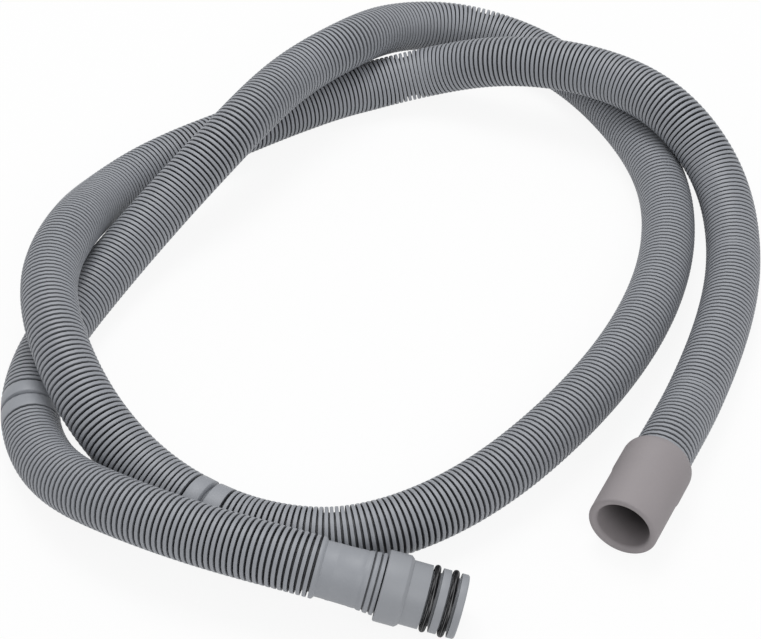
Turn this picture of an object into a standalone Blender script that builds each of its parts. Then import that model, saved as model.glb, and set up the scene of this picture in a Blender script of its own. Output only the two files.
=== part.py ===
"""Dishwasher drain hose: a corrugated hose with a rubber cuff and an O-ring spigot, in two loose loops.

Metres, +Z up, floor at z = 0. The cuff's mouth looks 8 degrees off -Y, and the spigot points 8 degrees off +X.
"""
import math

import bmesh
import bpy
import numpy as np
from mathutils import Vector

# The hose, a blow-moulded tube: ribs, then a plain end, then three shallow ridges in front of the fitting
HOSE_RADIUS = 0.0125
PLAIN_END_RADIUS = 0.0115
PLAIN_END_LENGTH = 0.0163
RIDGES_RADIUS = 0.0124
RIDGES_LENGTH = 0.0078
STEP_LENGTH = 0.0004
HOSE_STATIONS = 74
HOSE_BEVEL_RESOLUTION = 4

# The gap left between two meshes that meet face to face
FACE_GAP = 0.0003

# The spigot fitting, lengths along its axis from the hose side to the tip
COLLAR_RADIUS = 0.01424
COLLAR_LENGTH = 0.0100
COLLAR_EDGE = 0.0004
COLLAR_CHAMFER_LENGTH = 0.0013
COLLAR_CHAMFER_DEPTH = 0.00104
BARREL_RADIUS = 0.01277
BARREL_LENGTH = 0.0077
GROOVE_LENGTH = 0.0042
LAND_LENGTH = 0.0032
END_LAND_LENGTH = 0.0030
TIP_CHAMFER = 0.0005
SPIGOT_BORE_RADIUS = 0.0083
TURNED_SEGMENTS = 40

# The two O-rings in the fitting's grooves
RING_SECTION = 0.0025
RING_STAND = 0.00068
RING_CLEARANCE = 0.0003
RING_FROM_GROOVE_WALL = 0.00187
RING_SEGMENTS = 40
RING_SECTION_SIDES = 10

# The rubber cuff, lengths along its axis from the hose side to the mouth
CUFF_LENGTH = 0.0414
CUFF_NECK_RADIUS = 0.0128
CUFF_SHOULDER_RADIUS = 0.01515
CUFF_SHOULDER_LENGTH = 0.0040
CUFF_STEP_AT = 0.0156
CUFF_STEP_LENGTH = 0.0008
CUFF_FRONT_RADIUS = 0.0148
CUFF_MOUTH_RADIUS = 0.0147
CUFF_OUTER_ROUND = 0.0010
CUFF_INNER_ROUND = 0.0018
CUFF_BORE_RADIUS = 0.01115
CUFF_BORE_DEPTH = 0.0290
CUFF_SEAT_LENGTH = 0.0015
CUFF_THROAT_RADIUS = 0.0089

# Where the two ends lie: the cuff is level, and the spigot is nose down
CUFF_MOUTH = (0.1356, -0.1195)
CUFF_AZIMUTH = math.radians(-98.0)
SPIGOT_TIP = (0.0863, -0.1775)
SPIGOT_AZIMUTH = math.radians(8.0)
SPIGOT_NOSE_DOWN = math.radians(11.0)

# The hose runs straight out of the cuff for this far before its route begins to turn
HOSE_LEAD = 0.0040

# The centre line from the cuff to the plain end, chosen by hand from the photo, in millimetres
ROUTE_MM = [
    (145.5, -45, 13), (148.5, 12, 12.5), (141, 72.5, 13.5), (124, 108.5, 23),
    (99.5, 128, 35.5), (64, 145.5, 38), (-1.5, 151.5, 29), (-33.5, 148.5, 17.5),
    (-62.5, 131.5, 12.5), (-87.5, 105, 12.5), (-113.5, 71, 12.5), (-138.5, 33.5, 13),
    (-146.5, 2.5, 17.5), (-143, -39.5, 32), (-136, -74, 37.5), (-115.5, -111.5, 38),
    (-81.5, -143.5, 27), (-57.5, -155, 18), (-27.5, -163.5, 13.5), (26, -160.5, 12.5),
    (55.5, -141, 14), (94.5, -78.5, 16.5), (114, 0, 15), (113.5, 55, 13),
    (100, 103.5, 12.5), (63, 154.5, 12.5), (28, 182, 12.5), (0, 192.5, 14),
    (-30.5, 189.5, 19), (-55, 170, 26.5), (-70, 133.5, 37), (-84, 103, 38),
    (-97.5, 48.5, 37), (-114, 3.5, 23), (-127.5, -57, 13), (-129, -98, 12.5),
    (-121.5, -130.5, 13), (-92.5, -167, 17.5), (-60.5, -181, 24), (-12.5, -187, 26),
]

# How far the whole layout is moved so that the middle of its box stands over the origin
LAYOUT_SHIFT = (-0.0011, -0.0030)


def clear_scene():
    """Take away everything that the new file starts with."""
    for item in list(bpy.data.objects):
        bpy.data.objects.remove(item, do_unlink=True)


def plain_material(name, colour, roughness):
    """One Principled material without metal."""
    material = bpy.data.materials.new(name)
    material.use_nodes = True
    shader = material.node_tree.nodes["Principled BSDF"]
    shader.inputs["Base Color"].default_value = (*colour, 1.0)
    shader.inputs["Roughness"].default_value = roughness
    shader.inputs["Metallic"].default_value = 0.0
    return material


def quarter_round(centre, reach, start_degrees, end_degrees, steps):
    """Points of a quarter circle or ellipse, as (x, radius) pairs."""
    points = []
    for step in range(steps + 1):
        angle = math.radians(start_degrees + (end_degrees - start_degrees) * step / steps)
        points.append((centre[0] + reach[0] * math.cos(angle), centre[1] + reach[1] * math.sin(angle)))
    return points


def turned(name, outline, segments, material):
    """A closed (x, radius) outline turned about the local X axis."""
    mesh = bpy.data.meshes.new(name)
    shape = bmesh.new()
    rings = []
    for place in range(segments):
        angle = 2.0 * math.pi * place / segments
        ring = [shape.verts.new((x, r * math.cos(angle), r * math.sin(angle))) for x, r in outline]
        rings.append(ring)
    for place, ring in enumerate(rings):
        after = rings[(place + 1) % segments]
        for corner in range(len(outline)):
            following = (corner + 1) % len(outline)
            shape.faces.new((ring[corner], ring[following], after[following], after[corner]))
    bmesh.ops.recalc_face_normals(shape, faces=shape.faces)
    shape.to_mesh(mesh)
    shape.free()
    mesh.shade_smooth()
    mesh.set_sharp_from_angle(angle=math.radians(35.0))
    mesh.materials.append(material)
    item = bpy.data.objects.new(name, mesh)
    bpy.context.scene.collection.objects.link(item)
    return item


def fitting_outline():
    """The fitting's outline: collar, barrel, two grooves, tip and the bore right through."""
    groove_floor = BARREL_RADIUS + RING_STAND - RING_SECTION - RING_CLEARANCE
    outline = [
        (0.0, SPIGOT_BORE_RADIUS),
        (0.0, COLLAR_RADIUS - COLLAR_EDGE),
        (COLLAR_EDGE, COLLAR_RADIUS),
        (COLLAR_LENGTH - COLLAR_CHAMFER_LENGTH, COLLAR_RADIUS),
        (COLLAR_LENGTH, COLLAR_RADIUS - COLLAR_CHAMFER_DEPTH),
        (COLLAR_LENGTH, BARREL_RADIUS),
    ]
    along = COLLAR_LENGTH + BARREL_LENGTH
    for land in (LAND_LENGTH, END_LAND_LENGTH):
        outline.append((along, BARREL_RADIUS))
        outline.append((along, groove_floor))
        outline.append((along + GROOVE_LENGTH, groove_floor))
        outline.append((along + GROOVE_LENGTH, BARREL_RADIUS))
        along += GROOVE_LENGTH + land
    outline.append((along - TIP_CHAMFER, BARREL_RADIUS))
    outline.append((along, BARREL_RADIUS - TIP_CHAMFER))
    outline.append((along, SPIGOT_BORE_RADIUS))
    return outline


def cuff_outline():
    """The cuff's outline: neck, round shoulder, slight step, rounded rim, bore and throat."""
    rise = CUFF_SHOULDER_RADIUS - CUFF_NECK_RADIUS
    outline = [(0.0, CUFF_THROAT_RADIUS)]
    outline += quarter_round((CUFF_SHOULDER_LENGTH, CUFF_NECK_RADIUS), (CUFF_SHOULDER_LENGTH, rise), 180.0, 90.0, 5)
    outline.append((CUFF_STEP_AT, CUFF_SHOULDER_RADIUS))
    outline.append((CUFF_STEP_AT + CUFF_STEP_LENGTH, CUFF_FRONT_RADIUS))
    outer = CUFF_OUTER_ROUND
    outline += quarter_round((CUFF_LENGTH - outer, CUFF_MOUTH_RADIUS - outer), (outer, outer), 90.0, 0.0, 3)
    inner = CUFF_INNER_ROUND
    outline += quarter_round((CUFF_LENGTH - inner, CUFF_BORE_RADIUS + inner), (inner, inner), 0.0, -90.0, 4)
    outline.append((CUFF_LENGTH - CUFF_BORE_DEPTH, CUFF_BORE_RADIUS))
    outline.append((CUFF_LENGTH - CUFF_BORE_DEPTH - CUFF_SEAT_LENGTH, CUFF_THROAT_RADIUS))
    return outline


def ring_outline():
    """A circle, the O-ring's section, at the radius that leaves it proud of the barrel."""
    section = RING_SECTION / 2.0
    middle = BARREL_RADIUS + RING_STAND - section
    outline = []
    for side in range(RING_SECTION_SIDES):
        angle = 2.0 * math.pi * (side + 0.5) / RING_SECTION_SIDES
        outline.append((section * math.cos(angle), middle + section * math.sin(angle)))
    return outline


def smooth_line(points, start_way, end_way, stations):
    """A cubic spline through the points, with both end directions set, read at even spacing."""
    knots = np.array(points)
    spans = np.linalg.norm(np.diff(knots, axis=0), axis=1)
    slopes = np.diff(knots, axis=0) / spans[:, None]
    last = len(knots) - 1
    system = np.zeros((last + 1, last + 1))
    right = np.zeros((last + 1, 3))
    system[0, :2] = (2.0 * spans[0], spans[0])
    right[0] = 6.0 * (slopes[0] - start_way)
    for knot in range(1, last):
        system[knot, knot - 1] = spans[knot - 1]
        system[knot, knot] = 2.0 * (spans[knot - 1] + spans[knot])
        system[knot, knot + 1] = spans[knot]
        right[knot] = 6.0 * (slopes[knot] - slopes[knot - 1])
    system[last, last - 1:] = (spans[last - 1], 2.0 * spans[last - 1])
    right[last] = 6.0 * (end_way - slopes[last - 1])
    bend = np.linalg.solve(system, right)
    fine = []
    for knot in range(last):
        span = spans[knot]
        for share in np.linspace(0.0, 1.0, 40, endpoint=False):
            rest = 1.0 - share
            straight = rest * knots[knot] + share * knots[knot + 1]
            curved = (rest ** 3 - rest) * bend[knot] + (share ** 3 - share) * bend[knot + 1]
            fine.append(straight + curved * span * span / 6.0)
    fine.append(knots[last])
    fine = np.array(fine)
    run = np.concatenate([[0.0], np.cumsum(np.linalg.norm(np.diff(fine, axis=0), axis=1))])
    even = np.linspace(0.0, run[-1], stations)
    return np.column_stack([np.interp(even, run, fine[:, axis]) for axis in range(3)])


def add_hose(start, start_way, collar_face, spigot_way, material):
    """The hose as one plain tube that follows its route and lies on the floor."""
    end = collar_face - spigot_way * FACE_GAP
    ridges_start = end - spigot_way * RIDGES_LENGTH
    plain_start = ridges_start - spigot_way * PLAIN_END_LENGTH
    shift = Vector((*LAYOUT_SHIFT, 0.0))
    points = [start + start_way * HOSE_LEAD]
    points += [Vector(point) * 0.001 + shift for point in ROUTE_MM]
    points.append(plain_start)
    line = smooth_line(points, np.array(start_way), np.array(spigot_way), HOSE_STATIONS)
    line[:, 2] = np.maximum(line[:, 2], HOSE_RADIUS)
    stations = [(start, 1.0)]
    stations += [(point, 1.0) for point in line]
    plain_share = PLAIN_END_RADIUS / HOSE_RADIUS
    ridges_share = RIDGES_RADIUS / HOSE_RADIUS
    stations.append((plain_start + spigot_way * STEP_LENGTH, plain_share))
    stations.append((ridges_start, plain_share))
    stations.append((ridges_start + spigot_way * STEP_LENGTH, ridges_share))
    stations.append((end, ridges_share))
    curve = bpy.data.curves.new("corrugated_hose", "CURVE")
    curve.dimensions = "3D"
    curve.twist_mode = "Z_UP"
    curve.bevel_depth = HOSE_RADIUS
    curve.bevel_resolution = HOSE_BEVEL_RESOLUTION
    curve.use_fill_caps = True
    spline = curve.splines.new("POLY")
    spline.points.add(len(stations) - 1)
    for point, (place, share) in zip(spline.points, stations):
        point.co = (*place, 1.0)
        point.radius = share
    spline.use_smooth = True
    curve.materials.append(material)
    item = bpy.data.objects.new("corrugated_hose", curve)
    bpy.context.scene.collection.objects.link(item)


def main():
    clear_scene()
    hose_grey = plain_material("hose_grey", (0.283, 0.296, 0.322), 0.5)
    fitting_grey = plain_material("fitting_grey", (0.279, 0.291, 0.314), 0.45)
    cuff_rubber = plain_material("cuff_rubber", (0.28, 0.257, 0.265), 0.65)
    ring_black = plain_material("ring_black", (0.02, 0.02, 0.022), 0.55)

    # The fitting lies nose down, so that the edge of its tip touches the floor
    spigot_way = Vector((
        math.cos(SPIGOT_NOSE_DOWN) * math.cos(SPIGOT_AZIMUTH),
        math.cos(SPIGOT_NOSE_DOWN) * math.sin(SPIGOT_AZIMUTH),
        -math.sin(SPIGOT_NOSE_DOWN),
    ))
    tip_height = BARREL_RADIUS * math.cos(SPIGOT_NOSE_DOWN) - TIP_CHAMFER * math.sin(SPIGOT_NOSE_DOWN)
    shift = Vector((*LAYOUT_SHIFT, 0.0))
    tip = Vector((*SPIGOT_TIP, tip_height)) + shift
    fitting_length = COLLAR_LENGTH + BARREL_LENGTH + 2.0 * GROOVE_LENGTH + LAND_LENGTH + END_LAND_LENGTH
    fitting = turned("spigot_fitting", fitting_outline(), TURNED_SEGMENTS, fitting_grey)
    fitting.location = tip - spigot_way * fitting_length
    fitting.rotation_euler = (0.0, SPIGOT_NOSE_DOWN, SPIGOT_AZIMUTH)

    # Each O-ring sits nearer the collar side of its groove
    ring_at = COLLAR_LENGTH + BARREL_LENGTH + RING_FROM_GROOVE_WALL
    for name in ("o_ring_inner", "o_ring_outer"):
        ring = turned(name, ring_outline(), RING_SEGMENTS, ring_black)
        ring.parent = fitting
        ring.location = (ring_at, 0.0, 0.0)
        ring_at += GROOVE_LENGTH + LAND_LENGTH

    # The cuff lies level on the floor
    cuff = turned("drain_cuff", cuff_outline(), TURNED_SEGMENTS, cuff_rubber)
    hose_way = -Vector((math.cos(CUFF_AZIMUTH), math.sin(CUFF_AZIMUTH), 0.0))
    mouth = Vector((*CUFF_MOUTH, CUFF_SHOULDER_RADIUS)) + shift
    cuff.location = mouth + hose_way * CUFF_LENGTH
    cuff.rotation_euler = (0.0, 0.0, CUFF_AZIMUTH)

    add_hose(cuff.location + hose_way * FACE_GAP, hose_way, fitting.location, spigot_way, hose_grey)


main()
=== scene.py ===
"""Looks of the dishwasher drain hose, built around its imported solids. Metres, +Z up, floor at z = 0."""
import math

import bmesh
import bpy
import numpy as np
from mathutils import Matrix, Vector


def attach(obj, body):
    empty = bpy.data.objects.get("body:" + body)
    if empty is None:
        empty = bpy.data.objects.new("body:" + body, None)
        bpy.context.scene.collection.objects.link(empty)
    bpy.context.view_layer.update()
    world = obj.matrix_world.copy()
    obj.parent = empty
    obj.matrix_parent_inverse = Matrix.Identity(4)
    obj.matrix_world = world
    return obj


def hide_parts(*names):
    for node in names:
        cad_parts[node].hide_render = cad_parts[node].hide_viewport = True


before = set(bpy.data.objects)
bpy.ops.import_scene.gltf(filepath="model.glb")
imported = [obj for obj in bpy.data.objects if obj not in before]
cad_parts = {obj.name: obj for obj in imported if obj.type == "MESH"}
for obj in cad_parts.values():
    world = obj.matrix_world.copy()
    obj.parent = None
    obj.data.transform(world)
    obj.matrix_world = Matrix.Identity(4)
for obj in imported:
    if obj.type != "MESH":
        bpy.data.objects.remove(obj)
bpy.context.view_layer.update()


# Camera
# It stands in front of the laid-out hose and looks down on the floor at the photograph's angle.
# The focal length is in pixels of the photograph's 761 pixel width.
IMAGE_WIDTH = 761
FOCAL_PIXELS = 2033.5
SENSOR_WIDTH_MM = 36.0
CAMERA_TURN = math.radians(18.95)
CAMERA_ELEVATION = math.radians(42.5)
CAMERA_DISTANCE = 0.929
LOOKED_AT = Vector((-0.0026, -0.0216, 0.0))

camera_back = Vector((
    math.sin(CAMERA_TURN) * math.cos(CAMERA_ELEVATION),
    -math.cos(CAMERA_TURN) * math.cos(CAMERA_ELEVATION),
    math.sin(CAMERA_ELEVATION),
))
camera = bpy.data.objects.new("camera", bpy.data.cameras.new("camera"))
camera.data.sensor_fit = "HORIZONTAL"
camera.data.sensor_width = SENSOR_WIDTH_MM
camera.data.lens = FOCAL_PIXELS / IMAGE_WIDTH * SENSOR_WIDTH_MM
camera.location = LOOKED_AT + camera_back * CAMERA_DISTANCE
camera.rotation_mode = "QUATERNION"
camera.rotation_quaternion = (-camera_back).to_track_quat("-Z", "Y")
bpy.context.scene.collection.objects.link(camera)
bpy.context.scene.camera = camera


# Corrugated hose
# Blow-moulded grey polypropylene in one length: narrow deep grooves between flat ribs, two plain bands
# with a V groove, and at the fitting a plain end with three shallow ridges. It lies in two loose loops.
HOSE_RADIUS = 0.0125
HOSE_SIDES = 24
HOSE_INSIDE_RADIUS = 0.0083
HOSE_INSIDE_DEPTH = 0.070
HOSE_INSIDE_RINGS = 15
RIB_PITCH = 0.00241
RIB_SHARE = 0.60
RIB_EDGE_DROP = 0.00014
GROOVE_DEPTH = 0.0024
GROOVE_FLOOR_SHARE = 0.7
BAND_LENGTH = 0.0160
BAND_STARTS = (0.7846, 1.6616)
BAND_EDGE_LENGTH = 0.0005
BAND_NOTCH_AT = 0.0065
PLAIN_END_RADIUS = 0.0115
PLAIN_END_LENGTH = 0.0163
RIDGES_RADIUS = 0.0124
RIDGES_LENGTH = 0.0078
RIDGE_SLOT_LENGTH = 0.0010
RIDGE_EDGE_LENGTH = 0.0003
RIDGE_EDGE_DROP = 0.0001
FACE_GAP = 0.0003
SHARP_ANGLE = math.radians(50.0)

# How much painted shade darkens a part of the hose's colour, from 0 in the open to 1 down in a groove
GROOVE_SHADE = 1.0
RIB_EDGE_SHADE = 0.1
INSIDE_SHADE = 0.6

# Across a band's V groove, from its steep side to its slanting one: place, depth and shade
BAND_NOTCH = (
    (-0.0002, 0.0, 0.0),
    (0.0001, 0.0002, 0.0),
    (0.0004, 0.00266, 0.15),
    (0.0010, 0.0028, 0.15),
    (0.0018, 0.00126, 0.1),
    (0.0025, 0.0001, 0.0),
    (0.0029, 0.0, 0.0),
)

# The plain end has faint steps and widens a little towards its ridges: place, and height over its radius
PLAIN_END_STEPS = (
    (0.0003, -0.00022),
    (0.0045, -0.00016),
    (0.0049, -0.00004),
    (0.0058, -0.00004),
    (0.0062, -0.00012),
    (0.0135, 0.0),
    (0.0139, 0.00012),
    (0.0159, 0.00016),
)

# The ridges grow towards the collar: how far each stays under the last one's radius, and the depth
# and shade of the slot before it
RIDGES = (
    (0.00045, 0.000405, 0.1),
    (0.0002, 0.0009, 0.65),
    (0.0, 0.0009, 0.65),
)

# The slot between the last ridge and the collar: distance to the collar, depth and shade
COLLAR_SLOT = (
    (0.0005, 0.0001, 0.0),
    (0.0004, 0.0009, 0.9),
    (0.0, 0.0009, 0.9),
)

# The hose's finish: the scales are noise cells per metre, and the tones are factors on the grey
HOSE_GREY = (0.283, 0.296, 0.322)
# Painted shade: the near black that the hose's grey darkens to, and the shade values where that darkening
# starts and where it is full
HOSE_PAINTED_SHADE_GREY = (0.058, 0.061, 0.068)
HOSE_SHADE_STOPS = ((0.08, 0.0), (0.55, 1.0))
GRAIN_DETAIL = 2.0
HOSE_LOOK = {
    "cloud_scale": 22.0,
    "cloud_detail": 3.0,
    "cloud_share": 0.7,
    "grain_scale": 900.0,
    "darkest_tone": 0.88,
    "lightest_tone": 1.10,
    "roughness": 0.42,
    "roughness_spread": 0.16,
    "bump_strength": 0.10,
    "bump_depth": 0.0003,
}

# Where the two ends lie
LAYOUT_SHIFT = Vector((-0.0011, -0.0030, 0.0))
CUFF_MOUTH = (0.1356, -0.1195)
CUFF_AZIMUTH = math.radians(-98.0)
CUFF_LENGTH = 0.0414
CUFF_SHOULDER_RADIUS = 0.01515
SPIGOT_TIP = (0.0863, -0.1775)
SPIGOT_AZIMUTH = math.radians(8.0)
SPIGOT_NOSE_DOWN = math.radians(11.0)
BARREL_RADIUS = 0.01277
TIP_CHAMFER = 0.0005
FITTING_LENGTH = 0.0323

# The route's own points, as the solid has them, in millimetres. Between them it follows a smooth curve.
ROUTE_MM = [
    (145.5, -45, 13), (148.5, 12, 12.5), (141, 72.5, 13.5), (124, 108.5, 23),
    (99.5, 128, 35.5), (64, 145.5, 38), (-1.5, 151.5, 29), (-33.5, 148.5, 17.5),
    (-62.5, 131.5, 12.5), (-87.5, 105, 12.5), (-113.5, 71, 12.5), (-138.5, 33.5, 13),
    (-146.5, 2.5, 17.5), (-143, -39.5, 32), (-136, -74, 37.5), (-115.5, -111.5, 38),
    (-81.5, -143.5, 27), (-57.5, -155, 18), (-27.5, -163.5, 13.5), (26, -160.5, 12.5),
    (55.5, -141, 14), (94.5, -78.5, 16.5), (114, 0, 15), (113.5, 55, 13),
    (100, 103.5, 12.5), (63, 154.5, 12.5), (28, 182, 12.5), (0, 192.5, 14),
    (-30.5, 189.5, 19), (-55, 170, 26.5), (-70, 133.5, 37), (-84, 103, 38),
    (-97.5, 48.5, 37), (-114, 3.5, 23), (-127.5, -57, 13), (-129, -98, 12.5),
    (-121.5, -130.5, 13), (-92.5, -167, 17.5), (-60.5, -181, 24), (-12.5, -187, 26),
]
HOSE_LEAD = 0.0040
CURVE_STEPS = 40
ROUTE_SPACING = 0.002

spigot_way = Vector((
    math.cos(SPIGOT_NOSE_DOWN) * math.cos(SPIGOT_AZIMUTH),
    math.cos(SPIGOT_NOSE_DOWN) * math.sin(SPIGOT_AZIMUTH),
    -math.sin(SPIGOT_NOSE_DOWN),
))
tip_height = BARREL_RADIUS * math.cos(SPIGOT_NOSE_DOWN) - TIP_CHAMFER * math.sin(SPIGOT_NOSE_DOWN)
collar_face = Vector((*SPIGOT_TIP, tip_height)) + LAYOUT_SHIFT - spigot_way * FITTING_LENGTH
hose_way = -Vector((math.cos(CUFF_AZIMUTH), math.sin(CUFF_AZIMUTH), 0.0))
cuff_back = Vector((*CUFF_MOUTH, CUFF_SHOULDER_RADIUS)) + LAYOUT_SHIFT + hose_way * CUFF_LENGTH
hose_start = cuff_back + hose_way * FACE_GAP
hose_end = collar_face - spigot_way * FACE_GAP
plain_start = hose_end - spigot_way * (RIDGES_LENGTH + PLAIN_END_LENGTH)


def smooth_line(points, start_way, end_way):
    """A cubic spline through the points, with both end directions set, read at even spacing."""
    knots = np.array(points)
    spans = np.linalg.norm(np.diff(knots, axis=0), axis=1)
    slopes = np.diff(knots, axis=0) / spans[:, None]
    last = len(knots) - 1
    system = np.zeros((last + 1, last + 1))
    right = np.zeros((last + 1, 3))
    system[0, :2] = (2.0 * spans[0], spans[0])
    right[0] = 6.0 * (slopes[0] - start_way)
    for knot in range(1, last):
        system[knot, knot - 1] = spans[knot - 1]
        system[knot, knot] = 2.0 * (spans[knot - 1] + spans[knot])
        system[knot, knot + 1] = spans[knot]
        right[knot] = 6.0 * (slopes[knot] - slopes[knot - 1])
    system[last, last - 1:] = (spans[last - 1], 2.0 * spans[last - 1])
    right[last] = 6.0 * (end_way - slopes[last - 1])
    bend = np.linalg.solve(system, right)
    fine = []
    for knot in range(last):
        span = spans[knot]
        for share in np.linspace(0.0, 1.0, CURVE_STEPS, endpoint=False):
            rest = 1.0 - share
            straight = rest * knots[knot] + share * knots[knot + 1]
            curved = (rest ** 3 - rest) * bend[knot] + (share ** 3 - share) * bend[knot + 1]
            fine.append(straight + curved * span * span / 6.0)
    fine.append(knots[last])
    fine = np.array(fine)
    run = np.concatenate([[0.0], np.cumsum(np.linalg.norm(np.diff(fine, axis=0), axis=1))])
    even = np.linspace(0.0, run[-1], int(run[-1] / ROUTE_SPACING) + 1)
    return np.column_stack([np.interp(even, run, fine[:, axis]) for axis in range(3)])


# The hose can't lie lower than its own radius, so the curve is held at that height
route_points = [hose_start + hose_way * HOSE_LEAD]
route_points += [Vector(point) * 0.001 + LAYOUT_SHIFT for point in ROUTE_MM]
route_points.append(plain_start)
middle_line = smooth_line(route_points, np.array(hose_way), np.array(spigot_way))
middle_line[:, 2] = np.maximum(middle_line[:, 2], HOSE_RADIUS)
centre_line = [Vector(hose_start)] + [Vector(point) for point in middle_line] + [Vector(hose_end)]
hose_length = sum((after - before).length for before, after in zip(centre_line, centre_line[1:]))
ridges_start = hose_length - RIDGES_LENGTH
ribs_end = ridges_start - PLAIN_END_LENGTH

# The hose's section along its length: place of the ring's frame, radius, offset along the hose, and painted
# shade
rings = []
edge_radius = HOSE_RADIUS - RIB_EDGE_DROP
groove_radius = HOSE_RADIUS - GROOVE_DEPTH
groove_width = RIB_PITCH * (1.0 - RIB_SHARE)
floor_near = groove_width * (1.0 - GROOVE_FLOOR_SHARE) / 2.0
floor_far = groove_width - floor_near


def ring(place, radius, offset=0.0, shade=0.0):
    rings.append((place, radius, offset, shade))


def ribbed_run(start, end):
    """Ribs of one even pitch. Each rib is a stiff ring of its own, so grooves close inside a bend."""
    count = round((end - start) / RIB_PITCH)
    pitch = (end - start) / count
    half_rib = pitch * RIB_SHARE / 2.0
    half_floor = pitch * (1.0 - RIB_SHARE) * GROOVE_FLOOR_SHARE / 2.0
    for rib in range(count):
        middle = start + pitch * (rib + 0.5)
        ring(middle, edge_radius, -half_rib, RIB_EDGE_SHADE)
        ring(middle, HOSE_RADIUS)
        ring(middle, edge_radius, half_rib, RIB_EDGE_SHADE)
        if rib < count - 1:
            ring(middle + pitch / 2.0, groove_radius, -half_floor, GROOVE_SHADE)
            ring(middle + pitch / 2.0, groove_radius, half_floor, GROOVE_SHADE)


def plain_band(start):
    """A plain band at the ribs' own diameter, with its V groove and a rib's groove at either side."""
    notch = start + BAND_NOTCH_AT
    notch_end = notch + BAND_NOTCH[-1][0]
    end = start + BAND_LENGTH
    ring(start - floor_far, groove_radius, 0.0, GROOVE_SHADE)
    ring(start - floor_near, groove_radius, 0.0, GROOVE_SHADE)
    ring(start, edge_radius, 0.0, RIB_EDGE_SHADE)
    ring(start + BAND_EDGE_LENGTH, HOSE_RADIUS)
    ring((start + notch) / 2.0, HOSE_RADIUS)
    for place, depth, shade in BAND_NOTCH:
        ring(notch + place, HOSE_RADIUS - depth, 0.0, shade)
    ring((notch_end + end) / 2.0, HOSE_RADIUS)
    ring(end - BAND_EDGE_LENGTH, HOSE_RADIUS)
    ring(end, edge_radius, 0.0, RIB_EDGE_SHADE)
    ring(end + floor_near, groove_radius, 0.0, GROOVE_SHADE)
    ring(end + floor_far, groove_radius, 0.0, GROOVE_SHADE)


# The rings start down the bore at the cuff, run over the outside and end down the bore at the fitting.
# The bore stops where nobody can look.
for place in np.linspace(HOSE_INSIDE_DEPTH, 0.0, HOSE_INSIDE_RINGS):
    ring(place, HOSE_INSIDE_RADIUS, 0.0, INSIDE_SHADE)
run_start = 0.0
for band_start in BAND_STARTS:
    ribbed_run(run_start, band_start - groove_width)
    plain_band(band_start)
    run_start = band_start + BAND_LENGTH + groove_width
ribbed_run(run_start, ribs_end)
for place, height in PLAIN_END_STEPS:
    ring(ribs_end + place, PLAIN_END_RADIUS + height)
ridge_pitch = RIDGES_LENGTH / len(RIDGES)
for ridge, (ridge_drop, slot_depth, slot_shade) in enumerate(RIDGES):
    ridge_start = ridges_start + ridge_pitch * ridge
    ridge_radius = RIDGES_RADIUS - ridge_drop
    ring(ridge_start, ridge_radius - slot_depth, 0.0, slot_shade)
    ring(ridge_start + RIDGE_SLOT_LENGTH / 2.0, ridge_radius - slot_depth, 0.0, slot_shade)
    ring(ridge_start + RIDGE_SLOT_LENGTH, ridge_radius - RIDGE_EDGE_DROP)
    ring(ridge_start + RIDGE_SLOT_LENGTH + RIDGE_EDGE_LENGTH, ridge_radius)
    ring(ridge_start + ridge_pitch - RIDGE_EDGE_LENGTH, ridge_radius)
    if ridge < len(RIDGES) - 1:
        ring(ridge_start + ridge_pitch, ridge_radius - RIDGE_EDGE_DROP)
for to_collar, slot_depth, slot_shade in COLLAR_SLOT:
    ring(hose_length - to_collar, RIDGES_RADIUS - slot_depth, 0.0, slot_shade)
for place in np.linspace(0.0, HOSE_INSIDE_DEPTH, HOSE_INSIDE_RINGS):
    ring(hose_length - place, HOSE_INSIDE_RADIUS, 0.0, INSIDE_SHADE)


class Wire:
    """A socket of a node tree. Sums written with it add their own Math or Vector Math nodes."""

    def __init__(self, board, socket):
        self.board = board
        self.socket = socket

    def others(self, names):
        """Wires from the named outputs of the node that this wire comes from."""
        return [Wire(self.board, self.socket.node.outputs[name]) for name in names]

    def combine(self, operation, first, second):
        sides = (first, second)
        vector = any(isinstance(side, Wire) and side.socket.type == "VECTOR" for side in sides)
        kind = "ShaderNodeVectorMath" if vector else "ShaderNodeMath"
        return self.board.node(kind, {"operation": operation}, {0: first, 1: second})

    def __add__(self, other):
        return self.combine("ADD", self, other)

    def __radd__(self, other):
        return self.combine("ADD", other, self)

    def __mul__(self, other):
        return self.combine("MULTIPLY", self, other)

    def __rmul__(self, other):
        return self.combine("MULTIPLY", other, self)


class Board:
    """A node tree and the one way in which it gets its nodes."""

    def __init__(self, tree):
        self.tree = tree

    def feed(self, socket, value):
        if isinstance(value, Wire):
            self.tree.links.new(value.socket, socket)
        else:
            socket.default_value = value

    def node(self, kind, settings=None, sockets=None, output=0):
        """A new node. Settings may hold stops, which are a colour ramp's two places and greys."""
        made = self.tree.nodes.new(kind)
        for name, value in (settings or {}).items():
            if name == "stops":
                for element, (position, grey) in zip(made.color_ramp.elements, value):
                    element.position = position
                    element.color = (grey, grey, grey, 1.0)
            else:
                setattr(made, name, value)
        for name, value in (sockets or {}).items():
            self.feed(made.inputs[name], value)
        return Wire(self, made.outputs[output])

    def mix(self, share, first, second):
        """A colour that goes from the first to the second as the share goes from 0 to 1."""
        return self.node("ShaderNodeMix", {"data_type": "RGBA"}, {0: share, 6: first, 7: second}, 2)


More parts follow.
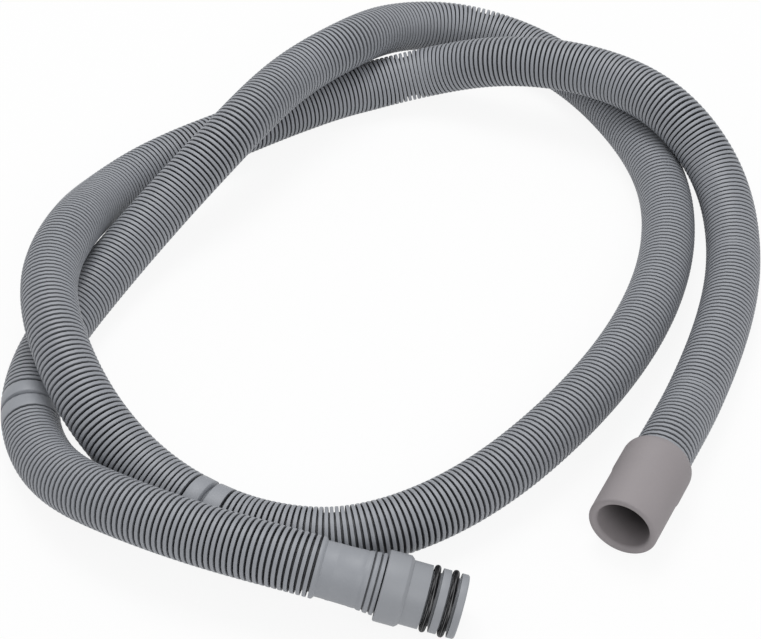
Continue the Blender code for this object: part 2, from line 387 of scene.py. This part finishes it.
def sweep_tree():
    """Wraps the rings of a profile round a route: the profile's X is place, Y radius, Z offset."""
    tree = bpy.data.node_groups.new("rings_along_route", "GeometryNodeTree")
    entries = {
        "Profile": "NodeSocketGeometry",
        "Route": "NodeSocketObject",
        "Sides": "NodeSocketInt",
        "Spans": "NodeSocketInt",
        "Finish": "NodeSocketMaterial",
    }
    for name, kind in entries.items():
        tree.interface.new_socket(name, in_out="INPUT", socket_type=kind)
    tree.interface.new_socket("Hose", in_out="OUTPUT", socket_type="NodeSocketGeometry")
    board = Board(tree)
    profile_mesh, route_holder, sides, spans, finish = board.node("NodeGroupInput").others(entries)

    route = board.node("GeometryNodeObjectInfo", {}, {"Object": route_holder}, "Geometry")
    upright = board.node("GeometryNodeSetCurveNormal", {"mode": "Z_UP"}, {"Curve": route})
    blank = board.node(
        "GeometryNodeMeshCylinder",
        {"fill_type": "NGON"},
        {"Vertices": sides, "Side Segments": spans, "Radius": 1.0, "Depth": spans},
        "Mesh",
    )
    position = board.node("GeometryNodeInputPosition")
    corner_x, corner_y, corner_z = board.node("ShaderNodeSeparateXYZ", {}, {0: position}).others(range(3))
    row = board.node("ShaderNodeMath", {"operation": "ROUND"}, {0: corner_z + spans * 0.5})
    looked_up = board.node(
        "GeometryNodeSampleIndex",
        {"data_type": "FLOAT_VECTOR", "domain": "POINT"},
        {"Geometry": profile_mesh, "Value": position, "Index": row},
    )
    place, radius, offset = board.node("ShaderNodeSeparateXYZ", {}, {0: looked_up}).others(range(3))
    sample = board.node("GeometryNodeSampleCurve", {"mode": "LENGTH"}, {"Curves": upright, "Length": place})
    on_line, tangent, normal = sample.others(("Position", "Tangent", "Normal"))
    side_way = board.node("ShaderNodeVectorMath", {"operation": "CROSS_PRODUCT"}, {0: tangent, 1: normal})
    outward = normal * corner_x + side_way * corner_y
    stored = board.node("GeometryNodeInputNamedAttribute", {"data_type": "FLOAT"}, {"Name": "shade"})
    shade = board.node(
        "GeometryNodeSampleIndex",
        {"data_type": "FLOAT", "domain": "POINT"},
        {"Geometry": profile_mesh, "Value": stored, "Index": row},
    )
    shaded = board.node(
        "GeometryNodeStoreNamedAttribute",
        {"data_type": "FLOAT", "domain": "POINT"},
        {"Geometry": blank, "Name": "shade", "Value": shade},
    )
    moved = board.node(
        "GeometryNodeSetPosition",
        {},
        {"Geometry": shaded, "Position": on_line + tangent * offset + outward * radius},
    )
    smooth = board.node("GeometryNodeSetShadeSmooth", {}, {"Geometry": moved})
    real = board.node("GeometryNodeRealizeInstances", {}, {"Geometry": smooth})
    painted = board.node("GeometryNodeSetMaterial", {}, {"Geometry": real, "Material": finish})
    result = tree.nodes.new("NodeGroupOutput")
    board.feed(result.inputs["Hose"], painted)
    return tree


def made_by_tree(name, base_mesh, tree, values):
    """Runs a node tree on a mesh and keeps the result as a plain mesh object."""
    maker = bpy.data.objects.new(name + "_maker", base_mesh)
    bpy.context.scene.collection.objects.link(maker)
    modifier = maker.modifiers.new("tree", "NODES")
    modifier.node_group = tree
    for item in tree.interface.items_tree:
        if item.in_out == "INPUT" and item.name in values:
            modifier[item.identifier] = values[item.name]
    bpy.context.view_layer.update()
    ready = maker.evaluated_get(bpy.context.evaluated_depsgraph_get())
    mesh = bpy.data.meshes.new_from_object(ready)
    bpy.data.objects.remove(maker, do_unlink=True)
    piece = bpy.data.objects.new(name, mesh)
    bpy.context.scene.collection.objects.link(piece)
    return piece


def new_finish(name):
    """A new material, the board for its nodes and its shader."""
    material = bpy.data.materials.new(name)
    material.use_nodes = True
    return material, Board(material.node_tree), material.node_tree.nodes["Principled BSDF"]


def opaque(colour, tone=1.0):
    """A colour made darker or lighter by the tone, as a socket takes it."""
    return (*(channel * tone for channel in colour), 1.0)


def moulded_surface(board, shader, colour, look):
    """Clouds of tone and a fine grain in a colour, which it returns. Sets roughness and bump as well."""
    place = board.node("ShaderNodeTexCoord", {}, {}, "Object")
    clouds = board.node(
        "ShaderNodeTexNoise",
        {},
        {"Vector": place, "Scale": look["cloud_scale"], "Detail": look["cloud_detail"]},
    )
    grain = board.node(
        "ShaderNodeTexNoise", {}, {"Vector": place, "Scale": look["grain_scale"], "Detail": GRAIN_DETAIL}
    )
    board.feed(shader.inputs["Roughness"], look["roughness"] + clouds * look["roughness_spread"])
    bump = board.node(
        "ShaderNodeBump",
        {},
        {"Strength": look["bump_strength"], "Distance": look["bump_depth"], "Height": grain},
    )
    board.feed(shader.inputs["Normal"], bump)
    share = clouds * look["cloud_share"] + grain * (1.0 - look["cloud_share"])
    return board.mix(share, opaque(colour, look["darkest_tone"]), opaque(colour, look["lightest_tone"]))


def hose_finish():
    """Grey moulded plastic: cloudy in tone, fine satin grain, and darkened by painted shade down in its
    grooves, slots and bore.
    """
    material, board, shader = new_finish("hose_grey_satin")
    toned = moulded_surface(board, shader, HOSE_GREY, HOSE_LOOK)
    stored = board.node("ShaderNodeAttribute", {"attribute_name": "shade"}, {}, "Fac")
    shade = board.node("ShaderNodeValToRGB", {"stops": HOSE_SHADE_STOPS}, {"Fac": stored})
    # Painted shade: the stored shade darkens the colour towards a near black in grooves, slots, notches and
    # the bore
    board.feed(shader.inputs["Base Color"], board.mix(shade, toned, opaque(HOSE_PAINTED_SHADE_GREY)))
    return material


route_curve = bpy.data.curves.new("route", "CURVE")
route_curve.dimensions = "3D"
route_spline = route_curve.splines.new("POLY")
route_spline.points.add(len(centre_line) - 1)
for route_point, point in zip(route_spline.points, centre_line):
    route_point.co = (*point, 1.0)
route_object = bpy.data.objects.new("route", route_curve)
bpy.context.scene.collection.objects.link(route_object)
profile = bpy.data.meshes.new("hose_profile")
profile.from_pydata([made[:3] for made in rings], [], [])
profile.attributes.new("shade", "FLOAT", "POINT").data.foreach_set("value", [made[3] for made in rings])
hose = made_by_tree("ribbed_hose", profile, sweep_tree(), {
    "Route": route_object,
    "Sides": HOSE_SIDES,
    "Spans": len(rings) - 1,
    "Finish": hose_finish(),
})
bpy.data.objects.remove(route_object, do_unlink=True)
hose.data.set_sharp_from_angle(angle=SHARP_ANGLE)
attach(hose, "root")
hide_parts("corrugated_hose")


# Spigot fitting
# Injection-moulded grey plastic, pressed on the hose's plain end: a collar, a barrel with two
# rectangular O-ring grooves, and the bore right through.
COLLAR_RADIUS = 0.01424
COLLAR_LENGTH = 0.0100
COLLAR_EDGE = 0.0004
COLLAR_CHAMFER_LENGTH = 0.0013
COLLAR_CHAMFER_DEPTH = 0.00104
BARREL_LENGTH = 0.0077
GROOVE_LENGTH = 0.0042
LAND_LENGTH = 0.0032
END_LAND_LENGTH = 0.0030
SPIGOT_BORE_RADIUS = 0.0083
RING_SECTION = 0.0025
RING_STAND = 0.00068
RING_CLEARANCE = 0.0003
EDGE_ROUND = 0.00012
EDGE_ROUND_STEPS = 3
EDGE_ROUND_MOST = 0.4
TURNED_SEGMENTS = 128
FITTING_GREY = (0.279, 0.291, 0.314)
FITTING_LOOK = {
    "cloud_scale": 60.0,
    "cloud_detail": 3.0,
    "cloud_share": 0.6,
    "grain_scale": 1400.0,
    "darkest_tone": 0.93,
    "lightest_tone": 1.06,
    "roughness": 0.40,
    "roughness_spread": 0.14,
    "bump_strength": 0.08,
    "bump_depth": 0.0002,
}


def turned(name, outline, stands):
    """A closed (x, radius) outline turned about its X axis, then stood in its place by a matrix.

    Its UV map runs round the piece in turns and along the outline in metres."""
    shape = bmesh.new()
    uv_map = shape.loops.layers.uv.new("turned")
    run = [0.0]
    for before, after in zip(outline, outline[1:] + outline[:1]):
        run.append(run[-1] + math.dist(before, after))
    circles = []
    for place in range(TURNED_SEGMENTS):
        angle = 2.0 * math.pi * place / TURNED_SEGMENTS
        circles.append([
            shape.verts.new(stands @ Vector((x, r * math.cos(angle), r * math.sin(angle))))
            for x, r in outline
        ])
    for place, circle in enumerate(circles):
        after = circles[(place + 1) % TURNED_SEGMENTS]
        for corner in range(len(outline)):
            following = (corner + 1) % len(outline)
            face = shape.faces.new((circle[corner], circle[following], after[following], after[corner]))
            turns = (place, place, place + 1, place + 1)
            along = (run[corner], run[corner + 1], run[corner + 1], run[corner])
            for loop, turn, metres in zip(face.loops, turns, along):
                loop[uv_map].uv = (turn / TURNED_SEGMENTS, metres)
    bmesh.ops.recalc_face_normals(shape, faces=shape.faces)
    mesh = bpy.data.meshes.new(name)
    shape.to_mesh(mesh)
    shape.free()
    mesh.shade_smooth()
    mesh.set_sharp_from_angle(angle=SHARP_ANGLE)
    piece = bpy.data.objects.new(name, mesh)
    bpy.context.scene.collection.objects.link(piece)
    return piece


def eased(corners):
    """The same closed outline with every corner cut round, by no more than a share of its sides."""
    outline = []
    for place, corner in enumerate(corners):
        here = Vector(corner)
        before = Vector(corners[place - 1]) - here
        after = Vector(corners[(place + 1) % len(corners)]) - here
        cut = min(EDGE_ROUND, before.length * EDGE_ROUND_MOST, after.length * EDGE_ROUND_MOST)
        start = here + before.normalized() * cut
        end = here + after.normalized() * cut
        for step in range(EDGE_ROUND_STEPS + 1):
            share = step / EDGE_ROUND_STEPS
            outline.append(tuple(start.lerp(here, share).lerp(here.lerp(end, share), share)))
    return outline


groove_floor = BARREL_RADIUS + RING_STAND - RING_SECTION - RING_CLEARANCE
fitting_corners = [
    (0.0, SPIGOT_BORE_RADIUS),
    (0.0, COLLAR_RADIUS - COLLAR_EDGE),
    (COLLAR_EDGE, COLLAR_RADIUS),
    (COLLAR_LENGTH - COLLAR_CHAMFER_LENGTH, COLLAR_RADIUS),
    (COLLAR_LENGTH, COLLAR_RADIUS - COLLAR_CHAMFER_DEPTH),
    (COLLAR_LENGTH, BARREL_RADIUS),
]
groove_start = COLLAR_LENGTH + BARREL_LENGTH
for land in (LAND_LENGTH, END_LAND_LENGTH):
    fitting_corners.append((groove_start, BARREL_RADIUS))
    fitting_corners.append((groove_start, groove_floor))
    fitting_corners.append((groove_start + GROOVE_LENGTH, groove_floor))
    fitting_corners.append((groove_start + GROOVE_LENGTH, BARREL_RADIUS))
    groove_start += GROOVE_LENGTH + land
fitting_corners.append((groove_start - TIP_CHAMFER, BARREL_RADIUS))
fitting_corners.append((groove_start, BARREL_RADIUS - TIP_CHAMFER))
fitting_corners.append((groove_start, SPIGOT_BORE_RADIUS))
fitting_stands = Matrix.Translation(collar_face) @ spigot_way.to_track_quat("X", "Z").to_matrix().to_4x4()


def fitting_finish():
    """Moulded plastic a shade darker than the hose's ribs, with faint clouds and a finer satin grain."""
    material, board, shader = new_finish("fitting_grey_satin")
    toned = moulded_surface(board, shader, FITTING_GREY, FITTING_LOOK)
    board.feed(shader.inputs["Base Color"], toned)
    return material


fitting = turned("end_spigot", eased(fitting_corners), fitting_stands)
fitting.data.materials.append(fitting_finish())
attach(fitting, "root")
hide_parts("spigot_fitting")


# O-rings
# Two black rubber rings, moulded in one piece each and rolled into the fitting's grooves. They
# stand a little proud of the barrel and carry pale streaks, partly dust and partly painted sheen.
RING_SIDES = 20
RING_FROM_GROOVE_WALL = 0.00187
RING_BLACK = (0.004, 0.004, 0.005)
RING_DUST_AND_SHEEN = (0.17, 0.17, 0.175)
RING_SPECULAR = 0.08
RING_ROUGHNESS = 0.42
RING_DUST_ROUGHNESS = 0.3
RING_BUMP_STRENGTH = 0.25
RING_BUMP_DEPTH = 0.0002

# Streaks for each turn round the ring and for each metre across it
STREAK_SCALES = (9.0, 2600.0, 1.0)
STREAK_DETAIL = 4.0
STREAK_STOPS = ((0.52, 0.0), (0.61, 1.0))


def ring_finish():
    """Black rubber with a dull sheen and thin pale streaks round the ring, partly dust and partly painted
    sheen.
    """
    material, board, shader = new_finish("ring_black_rubber")
    round_ring = board.node("ShaderNodeUVMap", {"uv_map": "turned"})
    streak_place = board.node(
        "ShaderNodeVectorMath", {"operation": "MULTIPLY"}, {0: round_ring, 1: STREAK_SCALES}
    )
    streaks = board.node(
        "ShaderNodeTexNoise", {}, {"Vector": streak_place, "Scale": 1.0, "Detail": STREAK_DETAIL}
    )
    dust_and_sheen = board.node("ShaderNodeValToRGB", {"stops": STREAK_STOPS}, {"Fac": streaks})
    # The pale streaks are partly dust and partly painted sheen
    board.feed(shader.inputs["Base Color"], board.mix(dust_and_sheen, opaque(RING_BLACK), opaque(RING_DUST_AND_SHEEN)))
    board.feed(shader.inputs["Roughness"], RING_ROUGHNESS + dust_and_sheen * RING_DUST_ROUGHNESS)
    shader.inputs["Specular IOR Level"].default_value = RING_SPECULAR
    bump = board.node(
        "ShaderNodeBump",
        {},
        {"Strength": RING_BUMP_STRENGTH, "Distance": RING_BUMP_DEPTH, "Height": streaks},
    )
    board.feed(shader.inputs["Normal"], bump)
    return material


ring_rubber = ring_finish()
ring_middle = BARREL_RADIUS + RING_STAND - RING_SECTION / 2.0
ring_at = COLLAR_LENGTH + BARREL_LENGTH + RING_FROM_GROOVE_WALL
for ring_name, ring_node in (("seal_inner", "o_ring_inner"), ("seal_outer", "o_ring_outer")):
    ring_outline = []
    for side in range(RING_SIDES):
        ring_angle = 2.0 * math.pi * side / RING_SIDES
        across = RING_SECTION / 2.0 * math.sin(ring_angle)
        ring_outline.append((ring_at + RING_SECTION / 2.0 * math.cos(ring_angle), ring_middle + across))
    seal = turned(ring_name, ring_outline, fitting_stands)
    seal.data.materials.append(ring_rubber)
    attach(seal, "root")
    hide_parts(ring_node)
    ring_at += GROOVE_LENGTH + LAND_LENGTH


# Drain cuff
# Soft brown-grey rubber, moulded over the hose's other end: a round shoulder, a slight step down to
# the front part, a plain mouth with rounded rim, and a seat deep inside.
CUFF_NECK_RADIUS = 0.0128
CUFF_SHOULDER_LENGTH = 0.0040
CUFF_SHOULDER_STEPS = 12
CUFF_STEP_AT = 0.0156
CUFF_STEP_LENGTH = 0.0008
CUFF_FRONT_RADIUS = 0.0148
CUFF_MOUTH_RADIUS = 0.0147
CUFF_OUTER_ROUND = 0.0010
CUFF_INNER_ROUND = 0.0018
CUFF_RIM_STEPS = 6
CUFF_BORE_RADIUS = 0.01115
CUFF_BORE_DEPTH = 0.0290
CUFF_SEAT_LENGTH = 0.0015
CUFF_THROAT_RADIUS = 0.0089
CUFF_BROWN_GREY = (0.280, 0.257, 0.265)
# Painted shade down the bore: the near black it darkens to, how far in it grows, and its strongest share
CUFF_BORE_PAINTED_SHADE = (0.030, 0.028, 0.030)
CUFF_SHADE_DEPTH = 0.022
CUFF_SHADE_SHARE = 0.72
CUFF_LOOK = {
    "cloud_scale": 48.0,
    "cloud_detail": 4.0,
    "cloud_share": 0.7,
    "grain_scale": 1100.0,
    "darkest_tone": 0.90,
    "lightest_tone": 1.08,
    "roughness": 0.58,
    "roughness_spread": 0.16,
    "bump_strength": 0.12,
    "bump_depth": 0.0003,
}


def quarter_round(centre, reach, start_degrees, end_degrees, steps):
    """Points of a quarter circle or ellipse, as (x, radius) pairs."""
    points = []
    for step in range(steps + 1):
        angle = math.radians(start_degrees + (end_degrees - start_degrees) * step / steps)
        points.append((centre[0] + reach[0] * math.cos(angle), centre[1] + reach[1] * math.sin(angle)))
    return points


shoulder_centre = (CUFF_SHOULDER_LENGTH, CUFF_NECK_RADIUS)
shoulder_reach = (CUFF_SHOULDER_LENGTH, CUFF_SHOULDER_RADIUS - CUFF_NECK_RADIUS)
outer_centre = (CUFF_LENGTH - CUFF_OUTER_ROUND, CUFF_MOUTH_RADIUS - CUFF_OUTER_ROUND)
outer_reach = (CUFF_OUTER_ROUND, CUFF_OUTER_ROUND)
inner_centre = (CUFF_LENGTH - CUFF_INNER_ROUND, CUFF_BORE_RADIUS + CUFF_INNER_ROUND)
inner_reach = (CUFF_INNER_ROUND, CUFF_INNER_ROUND)
cuff_outline = [(0.0, CUFF_THROAT_RADIUS)]
cuff_outline += quarter_round(shoulder_centre, shoulder_reach, 180.0, 90.0, CUFF_SHOULDER_STEPS)
cuff_outline.append((CUFF_STEP_AT, CUFF_SHOULDER_RADIUS))
cuff_outline.append((CUFF_STEP_AT + CUFF_STEP_LENGTH, CUFF_FRONT_RADIUS))
cuff_outline += quarter_round(outer_centre, outer_reach, 90.0, 0.0, CUFF_RIM_STEPS)
cuff_outline += quarter_round(inner_centre, inner_reach, 0.0, -90.0, CUFF_RIM_STEPS)
outside_run = sum(math.dist(before, after) for before, after in zip(cuff_outline, cuff_outline[1:]))
cuff_outline.append((CUFF_LENGTH - CUFF_BORE_DEPTH, CUFF_BORE_RADIUS))
cuff_outline.append((CUFF_LENGTH - CUFF_BORE_DEPTH - CUFF_SEAT_LENGTH, CUFF_THROAT_RADIUS))
cuff_stands = Matrix.Translation(cuff_back) @ (-hose_way).to_track_quat("X", "Z").to_matrix().to_4x4()


def cuff_finish():
    """Matte soft rubber with cloudy tone and a fine moulded grain, with painted shade darkening it down the
    bore.
    """
    material, board, shader = new_finish("cuff_brown_grey_rubber")
    toned = moulded_surface(board, shader, CUFF_BROWN_GREY, CUFF_LOOK)
    round_cuff = board.node("ShaderNodeUVMap", {"uv_map": "turned"})
    along = board.node("ShaderNodeSeparateXYZ", {}, {0: round_cuff}, "Y")
    # Painted shade grows from the mouth's inner rim down into the bore
    bore_painted_shade = board.node(
        "ShaderNodeMapRange",
        {"interpolation_type": "SMOOTHSTEP"},
        {
            "Value": along,
            "From Min": outside_run,
            "From Max": outside_run + CUFF_SHADE_DEPTH,
            "To Max": CUFF_SHADE_SHARE,
        },
    )
    board.feed(shader.inputs["Base Color"], board.mix(bore_painted_shade, toned, opaque(CUFF_BORE_PAINTED_SHADE)))
    return material


cuff = turned("rubber_cuff", cuff_outline, cuff_stands)
cuff.data.materials.append(cuff_finish())
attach(cuff, "root")
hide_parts("drain_cuff")


# Floor, sky and lamps
# A plain white floor that the camera sees as white with the hose's own soft shadow, under a large
# soft lamp from above and a weaker one from the front.
FLOOR_HALF = 4.0
FLOOR_DROP = 0.0002
FLOOR_WHITE = (0.85, 0.85, 0.85)
FLOOR_GLOW_SHARE = 0.90
PURE_WHITE = (1.0, 1.0, 1.0)
SKY_STRENGTH = 0.55
LAMP_SIZE = 0.9
LAMPS = (
    ("lamp_above", (-0.3, 0.4, 1.6), 14.0),
    ("lamp_front", (0.9, -1.1, 1.1), 7.0),
)


def white_finish():
    """White to the camera and in reflections, and an ordinary white floor to the light."""
    material = bpy.data.materials.new("floor_white")
    material.use_nodes = True
    tree = material.node_tree
    tree.nodes.clear()
    board = Board(tree)
    path = board.node("ShaderNodeLightPath")
    seen, mirrored, looked_through = path.others(("Is Camera Ray", "Is Glossy Ray", "Is Transmission Ray"))
    lit = board.node("ShaderNodeBsdfDiffuse", {}, {"Color": opaque(FLOOR_WHITE)})
    glow = board.node("ShaderNodeEmission", {}, {"Color": opaque(PURE_WHITE), "Strength": 1.0})
    share = (seen + mirrored + looked_through) * FLOOR_GLOW_SHARE
    both = board.node("ShaderNodeMixShader", {}, {0: share, 1: lit, 2: glow})
    result = tree.nodes.new("ShaderNodeOutputMaterial")
    board.feed(result.inputs["Surface"], both)
    return material


# The floor lies a hair under the hose, so that no two faces share a plane
floor_mesh = bpy.data.meshes.new("floor")
floor_mesh.from_pydata(
    [(-FLOOR_HALF, -FLOOR_HALF, -FLOOR_DROP), (FLOOR_HALF, -FLOOR_HALF, -FLOOR_DROP),
     (FLOOR_HALF, FLOOR_HALF, -FLOOR_DROP), (-FLOOR_HALF, FLOOR_HALF, -FLOOR_DROP)],
    [],
    [(0, 1, 2, 3)],
)
floor_mesh.materials.append(white_finish())
floor = bpy.data.objects.new("floor", floor_mesh)
bpy.context.scene.collection.objects.link(floor)

world = bpy.data.worlds.new("studio")
bpy.context.scene.world = world
world.use_nodes = True
world.node_tree.nodes.clear()
sky = Board(world.node_tree)
sky_seen, = sky.node("ShaderNodeLightPath").others(("Is Camera Ray",))
sky_light = sky.node("ShaderNodeBackground", {}, {"Color": opaque(PURE_WHITE), "Strength": SKY_STRENGTH})
sky_white = sky.node("ShaderNodeBackground", {}, {"Color": opaque(PURE_WHITE), "Strength": 1.0})
sky_both = sky.node("ShaderNodeMixShader", {}, {0: sky_seen, 1: sky_light, 2: sky_white})
sky_result = world.node_tree.nodes.new("ShaderNodeOutputWorld")
sky.feed(sky_result.inputs["Surface"], sky_both)

# Square lamps that look at the middle of the hose, each with its place and its power in watts
for lamp_name, lamp_place, lamp_watts in LAMPS:
    lamp = bpy.data.objects.new(lamp_name, bpy.data.lights.new(lamp_name, "AREA"))
    lamp.data.shape = "SQUARE"
    lamp.data.size = LAMP_SIZE
    lamp.data.energy = lamp_watts
    lamp.location = lamp_place
    lamp.rotation_euler = (LOOKED_AT - Vector(lamp_place)).to_track_quat("-Z", "Y").to_euler()
    bpy.context.scene.collection.objects.link(lamp)

bpy.context.scene.view_settings.view_transform = "Standard"
